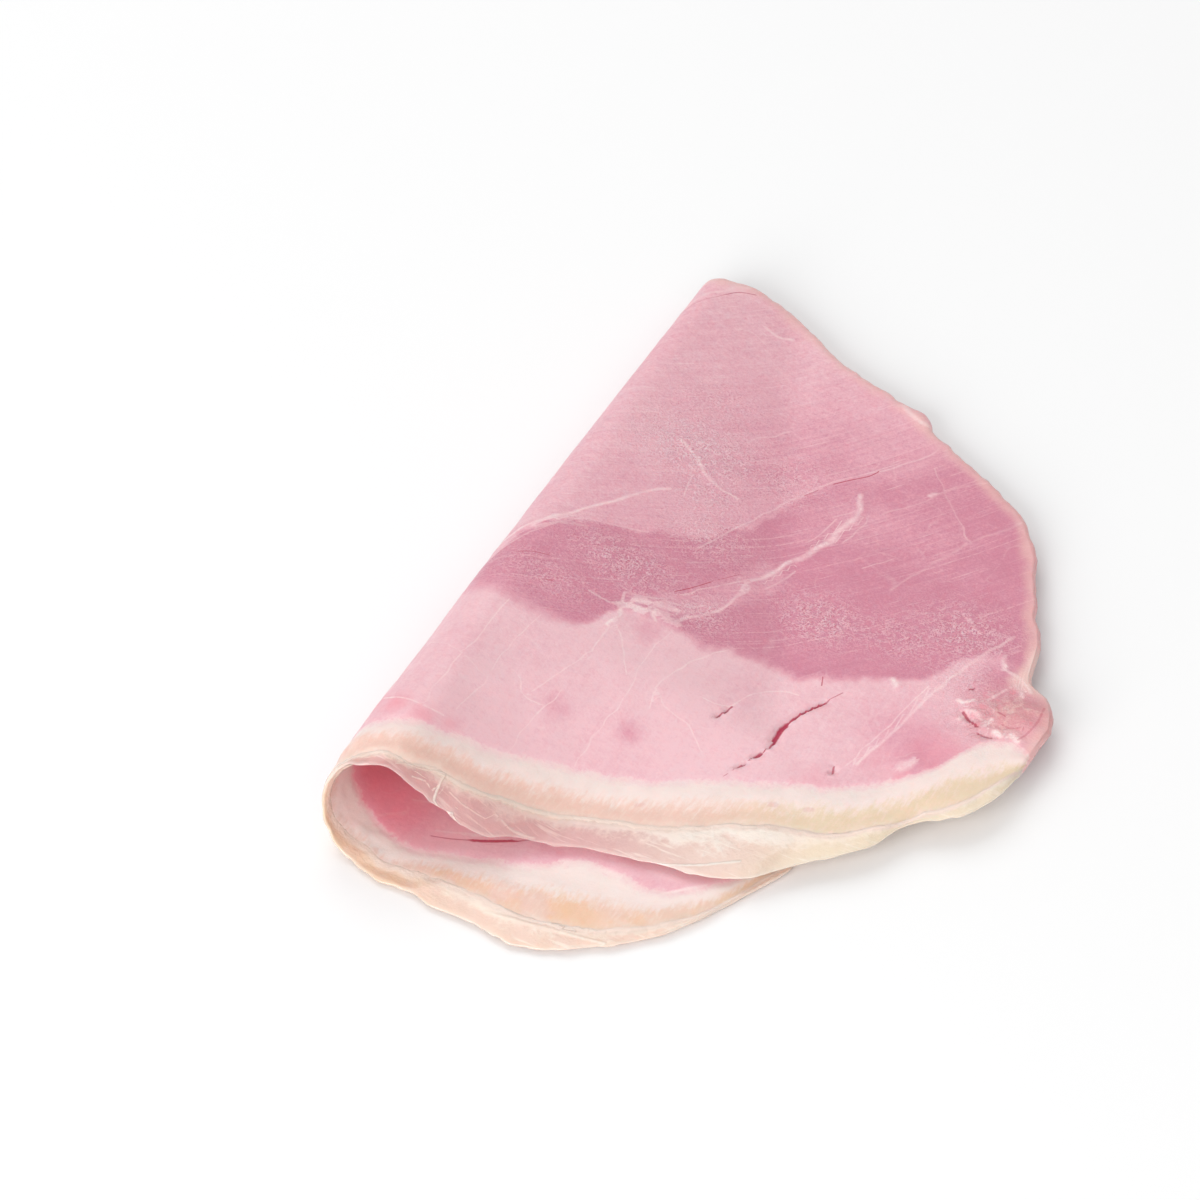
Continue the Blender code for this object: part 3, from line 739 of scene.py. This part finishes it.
    # masks that fade in softly: name, pattern, nothing at, full at, strength, then what else they are multiplied
    # by, with a mask above given by its name
    for name, pattern, low, high, most, others in (
            ("netShow", blotch, 0.45, 0.62, 0.12, ()),
            ("broken", speck, 0.38, 0.54, 1.0, ()),
            ("grainy", speck, 0.38, 0.54, 1.0, (total["grainy"],)),
            ("dotted", dots, 0.36, 0.54, 1.0, ()),
            ("combShow", pink, 0.2, 0.65, 1.0, ()),
            ("bloomShow", total["share"], 0.85, 0.55, 1.0, ()),
            ("net", net, 0.022, 0.004, 1.0, ("netShow",)),
            ("hair", strandFine, 0.64, 0.74, 0.34, (above,)),
            ("crumb", crumbs, 0.26, 0.06, 1.0, ("dotted", "grainy", "crumbShow")),
            ("pit", dots, 0.45, 0.3, 1.0, ("grainy", "pitShow")),
            ("comb", combed, 0.6, 0.74, 0.35, ("broken", "combShow", above)),
            ("rind", total["rind"], 0.8, -1.6, 0.65, ()),
            ("knotUp", total["knot"], 0.56, 0.74, 0.5, (knuckle,)),
            ("knotDown", total["knot"], 0.46, 0.26, 0.7, (knuckle,)),
            ("line", total["line"], 2.1, 0.6, 1.0, (sinewStrength, "lineShow")),
            ("white", total["share"], 0.54, 0.92, 1.0, ()),
            ("lip", total["share"], 0.42, 0.2, 0.85, ()),
            ("patchy", strokes, 0.44, 0.7, 0.5, ()),
            ("peach", blotch, 0.42, 0.62, 0.9, (fresh, outOfLoop)),
            ("bloom", warm, 0.3, 0.95, 0.7, (outOfLoop, "bloomShow")),
            ("blush", total["border"], -1.4, 0.3, 0.5, ()),
            ("lean", total["border"], 0.05, 0.75, 1.0, ()),
            ("gap", total["gap"], 1.65, 0.85, 1.0, (splitStrength,))):
        mask[name] = addNode(tree, ranged, smooth, {"Value": pattern, "From Min": low, "From Max": high,
                                                    "To Max": most})
        for other in others:
            mask[name] = addNode(tree, maths, multiply, {0: mask[name], 1: mask.get(other, other)})
    warmth = addNode(tree, maths, multiply, {0: warm, 1: total["fresher"]})
    hair = addNode(tree, maths, larger, {0: mask["hair"], 1: mask["net"]})
    skin = addNode(tree, maths, multiply, {0: membrane, 1: 0.8})
    dusky = addNode(tree, maths, multiply, {0: knuckle, 1: 0.75})
    line = addNode(tree, maths, multiplyClamped, {0: mask["line"], 1: total["bolder"]})
    line = addNode(tree, maths, multiply, {0: line, 1: mask["frayed"]})

    # the lean: the depth of its pink, the fresher lower half and loop, a brighter, deeper pink painted inside the loop
    # as painted light for light shining through the thin meat, hairlines, crumbs and pits, combed fibres, cream along
    # the outer cut edge, the membrane and knotted gristle of the far corner, and sinew
    lean = tint["pale"]
    for show, name in ((mask["middle"], "middle"), (mask["deep"], "deep"), (warmth, "warm"), (deepPinkAndPaintedLoopLight, "deepPinkAndPaintedLoopLight"),
                       (hair, "sinew"), (mask["crumb"], "crumb"), (mask["pit"], "split"), (mask["comb"], "pale"),
                       (mask["rind"], "edgeCream"), (skin, "membrane"), (dusky, "knuckle"),
                       (mask["knotUp"], "membrane"), (mask["knotDown"], "deepPinkAndPaintedLoopLight"), (line, "sinew")):
        lean = addNode(tree, mixed, colour, {0: show, 6: lean, 7: tint[name]}, 2)

    # the fat: white beside the lean, then beige, peach or yellow towards the clear edge
    fat = tint["fatBeige"]
    for show, name in ((yellow, "fatYellow"), (mask["peach"], "fatPeach"), (mask["patchy"], "lipCream"),
                       (mask["white"], "fatWhite"), (mask["lip"], "lipCream"), (mask["bloom"], "fatPeach")):
        fat = addNode(tree, mixed, colour, {0: show, 6: fat, 7: tint[name]}, 2)

    # a blush of pink in the fat, then the border between them and the splits
    fat = addNode(tree, mixed, colour, {0: mask["blush"], 6: fat, 7: lean}, 2)
    surface = addNode(tree, mixed, colour, {0: mask["lean"], 6: fat, 7: lean}, 2)
    surface = addNode(tree, mixed, colour, {0: mask["gap"], 6: surface, 7: tint["split"]}, 2)

    # moist gloss, broken by the grain, and the height of the grain in millimetres
    gloss = addNode(tree, maths, multiplyAdd, {0: mask["crumb"], 1: -0.2, 2: mask["gloss"]})
    height = 0.0
    for pattern, strength in ((streak, 0.05), (speck, 0.05), (grit, total["gritHeight"]), (mask["crumb"], 0.05),
                              (mask["pit"], -0.04)):
        height = addNode(tree, maths, multiplyAdd, {0: pattern, 1: strength, 2: height})
    bump = addNode(tree, "ShaderNodeBump", {}, {"Strength": 1.0, "Distance": mm, "Height": height})
    shader = addNode(tree, "ShaderNodeBsdfPrincipled", {}, {
        "Base Color": surface, "Roughness": gloss, "IOR": 1.42, "Normal": bump,
        "Subsurface Weight": 0.45, "Subsurface Radius": (1.0, 0.42, 0.36), "Subsurface Scale": 0.002,
        "Coat Weight": 0.0})
    addNode(tree, "ShaderNodeOutputMaterial", {}, {"Surface": shader})
    return material


# clear fat and jelly along the rim: pale, wet and half see-through
filmLook = {
    "clear": "EFBEBB",
    "cream": "F4D0C2",
    "yellow": "ECD7BE",
    "milky": "FAE8DC",
    "peach": "EFC6A8",
    "join": "EFD3C5",
    "alphaThin": 0.55,
    "alphaCream": 0.9,
    "alphaMilky": 0.95,
    "roughness": 0.22,
}

# shreds of membrane in the clear rim: points, half width, strength
shreds = [
    ([(18.6, 6.2), (19, 4.4), (19.4, 2.4), (20.8, 2), (22.6, 2.5)], 0.16, 0.9),
    ([(22.6, 2.6), (23.6, 1.8), (25, 1.6), (27, 1.6)], 0.14, 0.8),
    ([(15.4, 2.6), (17, 3.4), (18.2, 3.2)], 0.12, 0.7),
    ([(12.6, 2.2), (14.4, 3.6), (16.6, 4.8), (18.6, 6.4)], 0.1, 0.6),
    ([(20.6, 4.6), (23.4, 4.4), (26.8, 5)], 0.12, 0.5),
    ([(26.4, 6.6), (30.4, 6.4), (33.6, 7.6)], 0.2, 0.5),
    ([(44, 9.6), (48.6, 10.8), (54, 13), (59.4, 16.2)], 0.2, 0.9),
    ([(-30, -5.4), (-35, -5), (-39.4, -4.4), (-46.7, -3.2)], 0.3, 0.95),
    ([(-33, -2.4), (-37, -2.1), (-41.8, -2.3)], 0.18, 0.7),
]


def filmMaterial(look):
    tint = {name: linear(value) for name, value in look.items() if isinstance(value, str)}
    material, tree, whole = newMaterial("clear rim fat", ("flat", "edges", "tone", "shred"))
    flat = whole["flat"]
    (reach, fromRim, pastFat), (thin, yellow, warm) = [
        addNode(tree, parted, {}, {0: whole[name]}).node.outputs for name in ("edges", "tone")]
    shredded = addNode(tree, parted, {}, {0: whole["shred"]}, 2)
    blotch = addNode(tree, noise, {}, {"Vector": flat, "Scale": 1 / 3.5, "Detail": 3.0, "Roughness": 0.6})
    speck = addNode(tree, noise, {}, {"Vector": flat, "Scale": 1 / 0.9, "Detail": 3.0, "Roughness": 0.65})
    streak = addNode(tree, vectorMaths, multiply, {0: flat, 1: (0.16, 1.5, 1.0)})
    streak = addNode(tree, noise, {}, {"Vector": streak, "Scale": 1.0, "Detail": 2.0})
    shredAway = addNode(tree, vectorMaths, multiply, {0: whole["shred"], 1: (1.0, 1.0, 0.0)})
    shredAway = addNode(tree, vectorMaths, lengthOf, {0: shredAway}, "Value")

    # sums of patterns: name, start, and what is added how strongly
    total = {}
    for name, start, terms in (
            ("milk", 0.0, ((reach, 1.0), (blotch, 1.1), (speck, 0.6))),
            ("shred", 0.0, ((shredAway, 1.0), (speck, 1.6))),
            ("hem", 0.0, ((fromRim, 1.0), (speck, 0.4))),
            ("less", 0.9, ((thin, -0.4), (yellow, -0.45))),
            ("joined", 0.0, ((pastFat, 1.0), (speck, 0.9)))):
        total[name] = start
        for pattern, strength in terms:
            total[name] = addNode(tree, maths, multiplyAdd, {0: pattern, 1: strength, 2: total[name]})

    # masks that fade in softly: pattern, nothing at, full at, values there
    milk, streak, shred, hem, joined, peach = [
        addNode(tree, ranged, smooth, {"Value": pattern, "From Min": low, "From Max": high,
                                       "To Min": least, "To Max": most})
        for pattern, low, high, least, most in (
            (total["milk"], 1.25, 1.7, 0.0, 1.0), (streak, 0.56, 0.7, 0.0, 0.75), (total["shred"], 2.4, 0.9, 0.0, 1.0),
            (total["hem"], 0.6, 0.2, 0.0, 0.4), (total["joined"], -0.7, 0.25, 0.0, 1.0), (blotch, 0.35, 0.6, 0.5, 1.0))]

    # milky near the beige fat, in drawn-out streaks, along the very edge and in the shreds
    shred = addNode(tree, maths, multiply, {0: shred, 1: shredded})
    for settings, other in ((larger, streak), (larger, hem), (multiply, total["less"]), (larger, shred)):
        milk = addNode(tree, maths, settings, {0: milk, 1: other})

    # creamy on the lower half, yellower towards the far corner, clear over the middle, opaque at the join
    peach = addNode(tree, maths, multiply, {0: peach, 1: warm})
    surface = tint["cream"]
    for show, name in ((yellow, "yellow"), (thin, "clear"), (milk, "milky"), (peach, "peach"), (joined, "join")):
        surface = addNode(tree, mixed, colour, {0: show, 6: surface, 7: tint[name]}, 2)
    solid = addNode(tree, ranged, {}, {"Value": thin, "To Min": look["alphaCream"], "To Max": look["alphaThin"]})
    alpha = addNode(tree, mixed, {"data_type": "FLOAT"}, {0: milk, 2: solid, 3: look["alphaMilky"]})
    alpha = addNode(tree, maths, larger, {0: alpha, 1: joined})

    # wet ripples, their height in millimetres
    height = 0.0
    for pattern, strength in ((blotch, 0.26), (speck, 0.11), (shred, 0.1)):
        height = addNode(tree, maths, multiplyAdd, {0: pattern, 1: strength, 2: height})
    bump = addNode(tree, "ShaderNodeBump", {}, {"Strength": 1.0, "Distance": mm, "Height": height})
    shader = addNode(tree, "ShaderNodeBsdfPrincipled", {}, {
        "Base Color": surface, "Roughness": look["roughness"], "IOR": 1.42, "Alpha": alpha, "Normal": bump,
        "Coat Weight": 0.5, "Coat Roughness": 0.08,
        "Subsurface Weight": 0.45, "Subsurface Radius": (1.0, 0.7, 0.6), "Subsurface Scale": 0.002})
    addNode(tree, "ShaderNodeOutputMaterial", {}, {"Surface": shader})
    return material


# islands of the meat in its OFBake map: x, y, then s and t at their corner and millimetres to a step
bakeSize = 1024.0
meatIslands = [(8, 8, -12.5, -4.5, 0.125), (914, 580, -76, -6, 0.62), (788, 580, -76, 19, 0.72),
               (788, 730, 11, -1, 0.72)]
loopIsland = (788, 8, -76, -10, 0.16)


def addBakeMap(mesh, x, y):
    layer = mesh.uv_layers.new(name="OFBake")
    layer.data.foreach_set("uv", np.stack([x, y], axis=-1).astype(np.float32).ravel() / bakeSize)


def layMeat(mesh, flat, side, quads):
    # most of the room goes to the upper face and to the inside of the loop, which lies turned
    s = flat[:, 0][quads]
    t = flat[:, 1][quads]
    middleS = s.mean(axis=1, keepdims=True)
    outer = side[quads].mean(axis=1, keepdims=True) > 0
    inLoop = ~outer & (middleS < 12) & (t.mean(axis=1, keepdims=True) < 20)
    cases = [np.broadcast_to(case, s.shape) for case in (inLoop, outer & (middleS > -12), outer, middleS < 12)]
    x, y, lowS, lowT, step = loopIsland
    laid = [(x + (t - lowT) / step, y + (s - lowS) / step)]
    laid += [(x + (s - lowS) / step, y + (t - lowT) / step) for x, y, lowS, lowT, step in meatIslands]
    x, y = [np.select(cases, [island[axis] for island in laid[:-1]], laid[-1][axis]) for axis in (0, 1)]
    addBakeMap(mesh, x, y)


def layFilm(mesh, flat, side, quads):
    # four long strips: the two faces of the left part, then those of the right
    step = 0.076
    s = flat[:, 0][quads]
    t = (flat[:, 1] - rimEdge(flat[:, 0]))[quads]
    inner = side[quads].mean(axis=1, keepdims=True) < 0
    right = s.mean(axis=1, keepdims=True) > 11
    row = 1.0 * inner + 2.0 * right
    addBakeMap(mesh, 8 + (s + np.where(right, -10.0, 63.0)) / step, 10 + 125 * row + (t + 0.6) / step)


def addColumns(mesh, columns):
    for name, values in columns.items():
        addAttribute(mesh, name, np.column_stack(values))


def meatAttributes(mesh, flat, side):
    s = flat[:, 0]
    t = flat[:, 1]
    lean = t - leanEdge(s)
    inner = smoothStep(0.3, -0.3, side)
    outer = 1 - inner
    layer = 7.0 * inner  # the patterns of the two faces differ
    lowerFace = inner * smoothStep(16.0, -6.0, s)
    upperFace = 1 - lowerFace
    across, along = grainPlace(s, t)

    # muscle borders wander by about a millimetre
    ws = s + 0.7 * softNoise(s / 2.6, t / 2.6, 42) + 0.3 * softNoise(s / 0.9, t / 0.9, 43)
    wt = t + 0.7 * softNoise(s / 2.6, t / 2.6, 44) + 0.3 * softNoise(s / 0.9, t / 0.9, 45)
    above = smoothStep(-0.6, 0.6, t - edgeHeight(muscle["darkLow"], s)) * upperFace
    lowerDepth = 0.04 + 0.3 * smoothStep(-21.0, -8.0, s) + 0.2 * softNoise(s / 7.0, t / 4.0, 41)
    depth = meatDepth(ws, wt) * upperFace + lowerDepth * lowerFace
    membrane = smoothStep(74.6, 76.4, ws) * smoothStep(59.5, 62.0, t) * smoothStep(72.0, 67.5, t) * upperFace
    knuckle = spot(s, t, *places["knuckleTone"]) * upperFace
    # outside, the top of the loop is a touch beiger; inside it the fat is painted whiter, painted light in the loop's
    # shade
    loopTopAndPaintedLoopLight = smoothStep(30.0, 10.0, s) * smoothStep(-14.0, 0.0, s) * outer
    loopTopAndPaintedLoopLight = loopTopAndPaintedLoopLight - 3.25 * inner * smoothStep(-22.0, -12.0, s) * smoothStep(14.0, 7.0, s)

    # fresher pink: spots above, most of the lower half, and the orange bloom in its fat
    warm = np.maximum(lowerFace * (0.25 + 0.75 * smoothStep(-25.0, -9.0, s)),
                      freshness(s, t) * outer * smoothStep(-0.9, 0.3, lean))
    warm = np.maximum(warm, spot(s, t, *places["orangeBloom"]) * lowerFace * smoothStep(0.3, -0.3, lean))
    # painted light inside the loop: a brighter, deeper pink for light shining through the thin meat
    deepPinkAndPaintedLoopLight = 0.45 * inner * smoothStep(-17.0, -9.0, s) * smoothStep(22.0, 10.0, s) * smoothStep(-1.0, 4.0, lean)
    yellow = smoothStep(46.0, 66.0, s) + 0.25 * smoothStep(-30.0, -50.0, s)
    addColumns(mesh, {
        "flat": (s, t, layer),
        "edges": (lean, np.clip(fatShare(s, t), -1.0, 2.0), backDistance(s, t)),
        "body": (depth, above, patches(s, t) * upperFace),
        "fibre": (across / 0.6, along / 20.0, layer),
        "cross": ((s + 0.05 * t) / 0.9, t / 16.0, layer),
        "corner": (membrane, knuckle, loopTopAndPaintedLoopLight),
        "tone": (warm, deepPinkAndPaintedLoopLight, yellow),
    })

    # the lines of the upper half lie on its outer face, those of the lower half on the other
    # the sinews above wander a little, the splits stay on their clefts
    bentS = s + 0.3 * softNoise(s / 1.9, t / 1.9, 46)
    bentT = t + 0.3 * softNoise(s / 1.9, t / 1.9, 47)
    for name, lines, upperS, upperT in (("sinew", paleLines, bentS, bentT), ("split", darkLines, s, t)):
        upper = nearestLine([line for line in lines if line[0][0][0] > 0], upperS, upperT)
        lower = nearestLine([line for line in lines if line[0][0][0] < 0], s, t)
        addAttribute(mesh, name, np.where(outer[:, None] > 0.5, upper, lower))


def filmAttributes(mesh, flat):
    s = flat[:, 0]
    t = flat[:, 1]
    clear = smoothStep(3.0, 9.0, s) * smoothStep(58.0, 36.0, s)
    peach = np.maximum(smoothStep(5.0, -2.0, s) * (0.22 + 0.58 * smoothStep(-28.0, -14.0, s)),
                       spot(s, t, *places["orangeBloom"]))
    addColumns(mesh, {
        "flat": (s, t, flat[:, 2]),
        "edges": (np.clip(filmShare(s, t), 0, 1.2), t - rimEdge(s), t - filmEdge(s)),
        "tone": (clear, 0.9 * smoothStep(56.0, 68.0, s), peach),
    })
    addAttribute(mesh, "shred", nearestLine(shreds, s + 0.2 * softNoise(s / 1.4, t, 48), t))


def stations(low, high, step):
    return np.linspace(low, high, int(round((high - low) / step)) + 1)[:-1]


# the grids that the two pieces are laid out on, in millimetres
grid = {
    "lowerStep": 0.9,
    "upperStep": 0.5,
    "fatRows": 13,
    "leanRows": 164,
    "meatRounding": 0.55,
    "filmStep": 0.6,
    "filmRows": (0.0, 0.08, 0.2, 0.34, 0.5, 0.66, 0.82, 1.0),
    "filmOverlap": (0.35, 0.75, 1.15),
    "filmRounding": 0.7,
    "flapPlace": (41.2, 104.6),
    "flapReach": 1.1,
    "droop": 1.0,
}


def meatPiece():
    s = np.concatenate([[-75.0, -74.8, -74.4], stations(-73.8, -12.0, grid["lowerStep"]),
                        stations(-12.0, 82.0, grid["upperStep"]), [82.0, 82.5, 82.9, 83.3, 83.6, 83.8, 83.93, 84.0]])
    film = filmEdge(s)
    lean = leanEdge(s)
    back = np.maximum(backEdge(s), lean + 0.2)
    fatRows = grid["fatRows"]
    leanRows = grid["leanRows"]
    rows = [film + share * (lean - film) for share in np.linspace(0.0, 1.0, fatRows + 1)]
    rows += [lean + (back - lean) * k / leanRows for k in range(1, leanRows + 1)]
    t = np.array(rows)
    s = np.broadcast_to(s, t.shape).copy()
    # the outer edge is slightly ragged, with one small flap
    flapS, flapT = grid["flapPlace"]
    rough = 0.26 * softNoise(s / 2.6, t / 2.6, 51) + 0.14 * softNoise(s / 1.1, t / 1.1, 52)
    rough += grid["flapReach"] * np.exp(-((s - flapS) ** 2 + (t - flapT) ** 2) / 5.5)
    outermost = (np.maximum(np.arange(len(rows)) - fatRows, 0) / leanRows)[:, None] ** 10
    fromMiddle = np.maximum(np.hypot(s - 25.0, t - 50.0), 1.0)
    s, t = (s + outermost * rough * (s - 25.0) / fromMiddle, t + outermost * rough * (t - 50.0) / fromMiddle)
    flat, side, quads = gridMesh(s, t, *meatOffsets(s, t), grid["meatRounding"])
    return flat, side, quads, foldedPoint(flat[:, 0], flat[:, 1], flat[:, 2])


def filmPiece():
    s = np.concatenate([stations(-62.0, 83.0, grid["filmStep"]), [83.0, 83.5, 83.8]])
    rim = rimEdge(s)
    film = np.maximum(filmEdge(s), rim + 0.4)
    rim = rim + 0.3 * softNoise(s / 3.1, 0 * s, 53) + 0.16 * softNoise(s / 1.2, 0 * s, 54)
    rows = [rim + share * (film - rim) for share in grid["filmRows"]] + [film + past for past in grid["filmOverlap"]]
    t = np.array(rows)
    s = np.broadcast_to(s, t.shape).copy()
    share = np.clip(filmShare(s, t), 0.0, 1.3)
    upperShare = smoothStep(-10.0, 10.0, s)
    thick = 0.35 + 0.15 * (1 - upperShare) + 0.6 * smoothStep(0.0, 1.0, share)
    ripple = 0.09 * softNoise(s / 4.2, t / 2.0, 21) + 0.02 * softNoise(s / 1.0, t / 1.0, 22)
    meatTop, meatUnder = meatOffsets(s, t)
    proud = 0.04 + ripple * smoothStep(1.0, 0.7, share) - 0.12 * smoothStep(-0.3, 1.1, t - film)
    outer = upperShare * (meatTop + proud) + (1 - upperShare) * (meatUnder - proud + thick)
    inner = upperShare * (meatTop + proud - thick) + (1 - upperShare) * (meatUnder - proud)
    flat, side, quads = gridMesh(s, t, outer, inner, grid["filmRounding"])
    # the edge hangs a little over the open loop
    points = foldedPoint(flat[:, 0], flat[:, 1], flat[:, 2])
    droop = smoothStep(11.0, 16.0, flat[:, 0]) * smoothStep(30.0, 20.0, flat[:, 0])
    reach = np.clip(1.0 - (flat[:, 1] - rimEdge(flat[:, 0])) / 5.0, 0.0, 1.0)
    points[:, 2] -= grid["droop"] * droop * reach ** 2
    return flat, side, quads, points


print("meat: shaping the folded slice")
flat, side, quads, points = meatPiece()
filmFlat, filmSide, filmQuads, filmPoints = filmPiece()
cadLow = np.array(cadBox[0])
cadHigh = np.array(cadBox[1])
allLow = np.minimum(points.min(axis=0), filmPoints.min(axis=0)) * mm
allHigh = np.maximum(points.max(axis=0), filmPoints.max(axis=0)) * mm
middle = 0.5 * (cadLow + cadHigh) - 0.5 * (allLow + allHigh)
shift = np.array([middle[0], middle[1], cadLow[2] - allLow[2]])

meat = newPiece("ham_meat", placed(points), quads, hamMaterial(meatLook))
meatAttributes(meat.data, flat, side)
layMeat(meat.data, flat, side, quads)
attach(meat, "root")
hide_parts("ham_slice")
print("meat:", len(quads) * 2, "triangles")

print("rim: clear fat")
film = newPiece("rim_film", placed(filmPoints), filmQuads, filmMaterial(filmLook))
filmAttributes(film.data, filmFlat)
layFilm(film.data, filmFlat, filmSide, filmQuads)
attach(film, "root")

# studio: a matt white table, an even white room and three wide soft lamps
studio = {
    "room": "FFFFFF",
    "roomStrength": 0.54,
    "table": "F7F7F7",
    "tableRoughness": 0.9,
    "tableSpecular": 0.1,
    "tableSize": 4.0,
    "tableGap": 0.00002,
    "lens": 183.5,
    "sensor": 36.0,
    "distance": 0.85,
    "azimuth": 26.5,
    "elevation": 45.0,
    "targetFromLeft": 0.0141,
}

# place and width in metres, power in watts
lamps = {
    "key": ((-0.55, 0.45, 1.0), 1.1, 5.0),
    "fill": ((0.6, -0.7, 0.9), 0.8, 1.0),
    "front": ((-0.12, -1.05, 0.5), 0.9, 9.5),
}

reach = studio["tableSize"]
floorMesh = bpy.data.meshes.new("table")
floorMesh.from_pydata([(-reach, -reach, 0), (reach, -reach, 0), (reach, reach, 0), (-reach, reach, 0)], [],
                      [(0, 1, 2, 3)])
floorMaterial = bpy.data.materials.new("white table")
floorMaterial.use_nodes = True
floorShader = floorMaterial.node_tree.nodes["Principled BSDF"]
floorShader.inputs["Base Color"].default_value = linear(studio["table"])
floorShader.inputs["Roughness"].default_value = studio["tableRoughness"]
floorShader.inputs["Specular IOR Level"].default_value = studio["tableSpecular"]
floorMesh.materials.append(floorMaterial)
floor = bpy.data.objects.new("table", floorMesh)
floor.location = (0.0, 0.0, float(cadLow[2]) - studio["tableGap"])
bpy.context.scene.collection.objects.link(floor)

world = bpy.data.worlds.new("room")
world.use_nodes = True
background = world.node_tree.nodes["Background"]
background.inputs["Color"].default_value = linear(studio["room"])
background.inputs["Strength"].default_value = studio["roomStrength"]
bpy.context.scene.world = world

for name, (place, width, power) in lamps.items():
    lampData = bpy.data.lights.new(name, "AREA")
    lampData.shape = "DISK"
    lampData.size = width
    lampData.energy = power
    lamp = bpy.data.objects.new(name, lampData)
    lamp.location = place
    aim = -np.array(place)
    lamp.rotation_euler = (math.atan2(math.hypot(aim[0], aim[1]), -aim[2]), 0.0, math.atan2(-aim[0], aim[1]))
    bpy.context.scene.collection.objects.link(lamp)

azimuth = math.radians(studio["azimuth"])
elevation = math.radians(studio["elevation"])
target = np.array([cadLow[0] + studio["targetFromLeft"], 0.5 * (cadLow[1] + cadHigh[1]), cadLow[2]])
level = math.cos(elevation)
away = np.array([math.sin(azimuth) * level, -math.cos(azimuth) * level, math.sin(elevation)])
cameraData = bpy.data.cameras.new("camera")
cameraData.lens = studio["lens"]
cameraData.sensor_width = studio["sensor"]
cameraData.clip_start = 0.01
camera = bpy.data.objects.new("camera", cameraData)
camera.location = (target + away * studio["distance"]).tolist()
camera.rotation_euler = (math.pi / 2.0 - elevation, 0.0, azimuth)
bpy.context.scene.collection.objects.link(camera)
bpy.context.scene.camera = camera
bpy.context.scene.view_settings.view_transform = "Standard"
print("studio: camera and lamps set")
